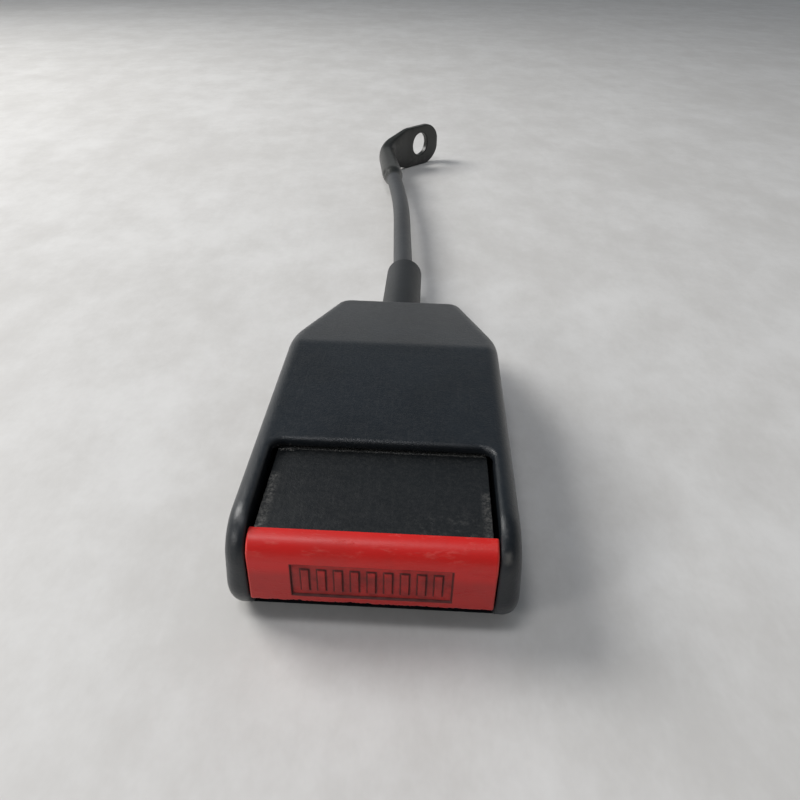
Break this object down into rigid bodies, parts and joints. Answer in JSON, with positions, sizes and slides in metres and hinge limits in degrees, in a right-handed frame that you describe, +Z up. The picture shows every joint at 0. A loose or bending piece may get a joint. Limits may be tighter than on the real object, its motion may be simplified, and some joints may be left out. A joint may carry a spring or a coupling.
{
  "type": "seat belt buckle",
  "caption": "Seat belt buckle with a wide press button and tongue slot, on a stiff cable stalk with a bent anchor blade and bolt hole.",
  "frame": {"origin": "on the surface that the buckle lies on, under the middle of its whole length and width", "axes": "+Y from the tongue's mouth back along the stalk, +Z up, +X to the right of someone facing the mouth"},
  "size_m": [0.0568, 0.3373, 0.0243],
  "materials": {
    "housing_plastic": "fine moulded grain, satin",
    "red_plastic": "satin gloss",
    "slider_plastic": "slightly rough, dusty",
    "plated_steel": "zinc plated",
    "spring_steel": "drawn wire",
    "wire_rope": "stranded, galvanised",
    "sheath_plastic": "extruded, matt",
    "sleeve_rubber": "matt",
    "painted_steel": "black enamel, worn"
  },
  "bodies": {
    "housing": {"top_cover": "housing_plastic", "bottom_cover": "housing_plastic", "frame": "plated_steel", "latch_pivot_pin": "plated_steel", "pivot_clip": "spring_steel", "spring_bridge": "plated_steel", "button_spring_left": "spring_steel", "button_spring_right": "spring_steel", "latch_spring": "spring_steel", "ejector_spring": "spring_steel", "inner_terminal": "plated_steel", "terminal_rivet": "plated_steel", "cable_core": "wire_rope", "cable_sheath": "sheath_plastic", "collar_sleeve": "sleeve_rubber", "anchor_terminal": "painted_steel"},
    "button": {"button_cap": "red_plastic", "button_slider": "slider_plastic"},
    "latch": {"latch_plate": "plated_steel"},
    "ejector": {"ejector": "slider_plastic"}
  },
  "joints": [
    {"name": "button_press", "type": "slide", "parent": "housing", "child": "button", "axis": [0, 1, 0], "range_m": [0, 0.006], "stiffness_N_per_m": 1200, "springref_m": -0.005, "deforming": ["button_spring_left", "button_spring_right"]},
    {"name": "latch_lift", "type": "hinge", "parent": "housing", "child": "latch", "pos_m": [0, -0.1148, 0.012], "axis": [-1, 0, 0], "range_deg": [0, 9.6], "deforming": ["latch_spring"]},
    {"name": "ejector_slide", "type": "slide", "parent": "housing", "child": "ejector", "axis": [0, 1, 0], "range_m": [0, 0.0075], "stiffness_N_per_m": 600, "springref_m": -0.005, "deforming": ["ejector_spring"]}
  ],
  "couplings": [
    {"joint": "latch_lift", "follows": "button_press", "rad_per_m": 27.634}
  ]
}
